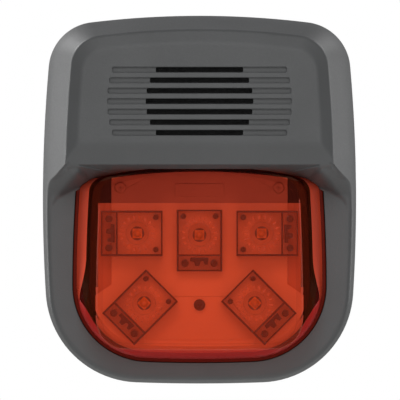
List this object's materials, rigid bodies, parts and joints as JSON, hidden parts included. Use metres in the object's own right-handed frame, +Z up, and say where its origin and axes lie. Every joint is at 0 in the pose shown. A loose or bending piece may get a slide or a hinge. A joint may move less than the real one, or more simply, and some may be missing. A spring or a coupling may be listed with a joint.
{
  "type": "alarm siren",
  "caption": "Wall-mounted alarm siren and strobe: a hinged cover with a slotted horn grille and a tinted lens over side-throwing optics, on a base plate with wiring terminals.",
  "frame": {"origin": "point on the base plate's back face at the middle of the cover's width and height, where the device meets the wall", "axes": "+Z up the wall, +Y into the wall, so the front faces -Y; +X to the right as seen from the front"},
  "size_m": [0.1158, 0.056, 0.136],
  "materials": {
    "housing": "fine moulded texture, dark grey",
    "base": "moulded, dark grey",
    "black_plastic": "matte",
    "lens": "clear red-orange, polished",
    "gasket": "matte",
    "mesh": "woven, black",
    "white_plastic": "smooth",
    "clear_plastic": "clear, polished",
    "board_green": "solder mask",
    "board_black": "solder mask",
    "led": "phosphor under clear resin",
    "brass": "bare",
    "copper": "bare",
    "steel": "zinc plated",
    "ceramic": "matte, silvered",
    "capacitor": "sleeved can",
    "terminal_green": "moulded",
    "switch_red": "moulded",
    "trimmer_blue": "moulded",
    "wire_red": "insulation",
    "wire_black": "insulation"
  },
  "bodies": {
    "base": {"base_plate": "base", "terminal_block": "terminal_green", "contact_clips": "copper"},
    "cover": {"front_housing": "housing", "lens": "lens", "lens_gasket": "gasket", "lens_screws": "steel", "acoustic_mesh": "mesh", "sounder_horn": "black_plastic", "sounder_cap": "black_plastic", "sounder_screws": "steel", "piezo_plate": "brass", "piezo_ceramic": "ceramic", "piezo_ring": "gasket", "sounder_lead_red": "wire_red", "sounder_lead_black": "wire_black", "reflector_tray": "white_plastic", "strobe_board": "board_black", "led_chips": "led", "optic_left": "clear_plastic", "optic_center": "clear_plastic", "optic_right": "clear_plastic", "optic_lower_left": "clear_plastic", "optic_lower_right": "clear_plastic", "strobe_screws": "steel", "board_spacers": "brass", "spacer_screws": "steel", "board_link": "black_plastic", "main_board": "board_green", "storage_capacitors": "capacitor", "power_inductor": "copper", "circuit_chips": "black_plastic", "contact_pins": "brass", "dip_switch": "switch_red", "volume_trimmer": "trimmer_blue", "rear_cover": "base", "cover_screws": "steel", "lock_insert": "brass"},
    "terminal_screw_1": {"terminal_screw_1": "steel"},
    "wire_clamp_1": {"wire_clamp_1": "steel"},
    "terminal_screw_2": {"terminal_screw_2": "steel"},
    "wire_clamp_2": {"wire_clamp_2": "steel"},
    "terminal_screw_3": {"terminal_screw_3": "steel"},
    "wire_clamp_3": {"wire_clamp_3": "steel"},
    "terminal_screw_4": {"terminal_screw_4": "steel"},
    "wire_clamp_4": {"wire_clamp_4": "steel"},
    "dip_lever_1": {"dip_lever_1": "white_plastic"},
    "dip_lever_2": {"dip_lever_2": "white_plastic"},
    "dip_lever_3": {"dip_lever_3": "white_plastic"},
    "dip_lever_4": {"dip_lever_4": "white_plastic"},
    "dip_lever_5": {"dip_lever_5": "white_plastic"},
    "trimmer_rotor": {"trimmer_rotor": "white_plastic"},
    "lock_clip": {"lock_clip": "black_plastic"},
    "lock_screw": {"lock_screw": "steel"}
  },
  "joints": [
    {"name": "cover_hinge", "type": "hinge", "parent": "base", "child": "cover", "pos_m": [0, -0.0088, 0.061], "axis": [-1, 0, 0], "range_deg": [0, 40]},
    {"name": "terminal_screw_1_turn", "type": "hinge", "parent": "base", "child": "terminal_screw_1", "pos_m": [-0.009, -0.011, -0.028], "axis": [0, 1, 0], "range_deg": [0, 1620.5]},
    {"name": "wire_clamp_1_rise", "type": "slide", "parent": "base", "child": "wire_clamp_1", "axis": [0, -1, 0], "range_m": [0, 0.00225]},
    {"name": "terminal_screw_2_turn", "type": "hinge", "parent": "base", "child": "terminal_screw_2", "pos_m": [-0.003, -0.011, -0.028], "axis": [0, 1, 0], "range_deg": [0, 1620.5]},
    {"name": "wire_clamp_2_rise", "type": "slide", "parent": "base", "child": "wire_clamp_2", "axis": [0, -1, 0], "range_m": [0, 0.00225]},
    {"name": "terminal_screw_3_turn", "type": "hinge", "parent": "base", "child": "terminal_screw_3", "pos_m": [0.003, -0.011, -0.028], "axis": [0, 1, 0], "range_deg": [0, 1620.5]},
    {"name": "wire_clamp_3_rise", "type": "slide", "parent": "base", "child": "wire_clamp_3", "axis": [0, -1, 0], "range_m": [0, 0.00225]},
    {"name": "terminal_screw_4_turn", "type": "hinge", "parent": "base", "child": "terminal_screw_4", "pos_m": [0.009, -0.011, -0.028], "axis": [0, 1, 0], "range_deg": [0, 1620.5]},
    {"name": "wire_clamp_4_rise", "type": "slide", "parent": "base", "child": "wire_clamp_4", "axis": [0, -1, 0], "range_m": [0, 0.00225]},
    {"name": "dip_lever_1_slide", "type": "slide", "parent": "cover", "child": "dip_lever_1", "axis": [0, 0, 1], "range_m": [0, 0.0012]},
    {"name": "dip_lever_2_slide", "type": "slide", "parent": "cover", "child": "dip_lever_2", "axis": [0, 0, 1], "range_m": [0, 0.0012]},
    {"name": "dip_lever_3_slide", "type": "slide", "parent": "cover", "child": "dip_lever_3", "axis": [0, 0, 1], "range_m": [0, 0.0012]},
    {"name": "dip_lever_4_slide", "type": "slide", "parent": "cover", "child": "dip_lever_4", "axis": [0, 0, 1], "range_m": [0, 0.0012]},
    {"name": "dip_lever_5_slide", "type": "slide", "parent": "cover", "child": "dip_lever_5", "axis": [0, 0, 1], "range_m": [0, 0.0012]},
    {"name": "trimmer_turn", "type": "hinge", "parent": "cover", "child": "trimmer_rotor", "pos_m": [-0.022, -0.0178, -0.012], "axis": [0, 1, 0], "range_deg": [-130, 130]},
    {"name": "lock_travel", "type": "slide", "parent": "cover", "child": "lock_clip", "axis": [0, 0, 1], "range_m": [0, 0.0035]},
    {"name": "lock_screw_turn", "type": "hinge", "parent": "lock_clip", "child": "lock_screw", "pos_m": [0, -0.009, -0.06], "axis": [0, 0, 1], "range_deg": [0, 2520.5]}
  ],
  "couplings": [
    {"joint": "terminal_screw_1_turn", "follows": "wire_clamp_1_rise", "rad_per_m": 12566},
    {"joint": "terminal_screw_2_turn", "follows": "wire_clamp_2_rise", "rad_per_m": 12566},
    {"joint": "terminal_screw_3_turn", "follows": "wire_clamp_3_rise", "rad_per_m": 12566},
    {"joint": "terminal_screw_4_turn", "follows": "wire_clamp_4_rise", "rad_per_m": 12566},
    {"joint": "lock_screw_turn", "follows": "lock_travel", "rad_per_m": 12566}
  ]
}
